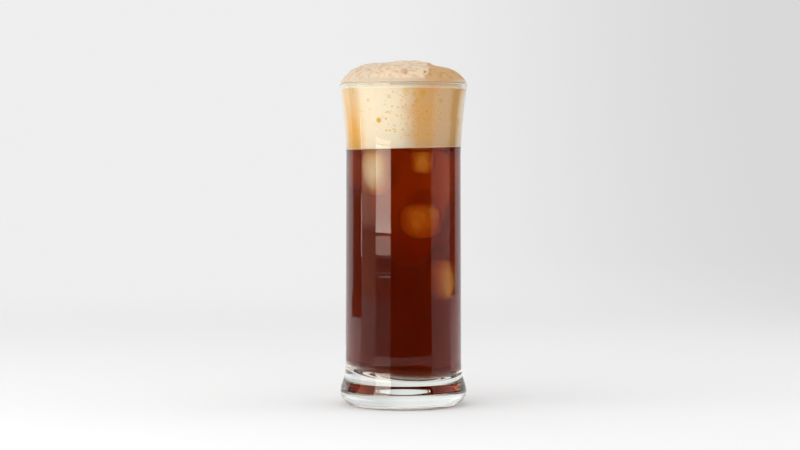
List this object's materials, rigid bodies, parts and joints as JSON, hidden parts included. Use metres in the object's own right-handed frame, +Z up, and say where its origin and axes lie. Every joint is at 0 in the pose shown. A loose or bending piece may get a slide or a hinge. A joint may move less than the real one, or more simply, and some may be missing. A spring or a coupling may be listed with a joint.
{
  "type": "iced frappe coffee in a glass",
  "caption": "Iced frappe coffee in a tall clear glass with a flared mouth and heavy base: dark red-brown drink under a tan foam head that swells over the rim.",
  "frame": {"origin": "centre of the glass's foot, on the surface that it stands on", "axes": "+Z up along the glass, +X to the right as seen from the front, +Y away from the viewer"},
  "size_m": [0.0628, 0.0628, 0.1698],
  "materials": {
    "glass": "clear soda-lime glass, polished",
    "drink": null,
    "foam": null
  },
  "bodies": {
    "root": {"glass": "glass", "drink": "drink", "foam": "foam"}
  },
  "joints": []
}
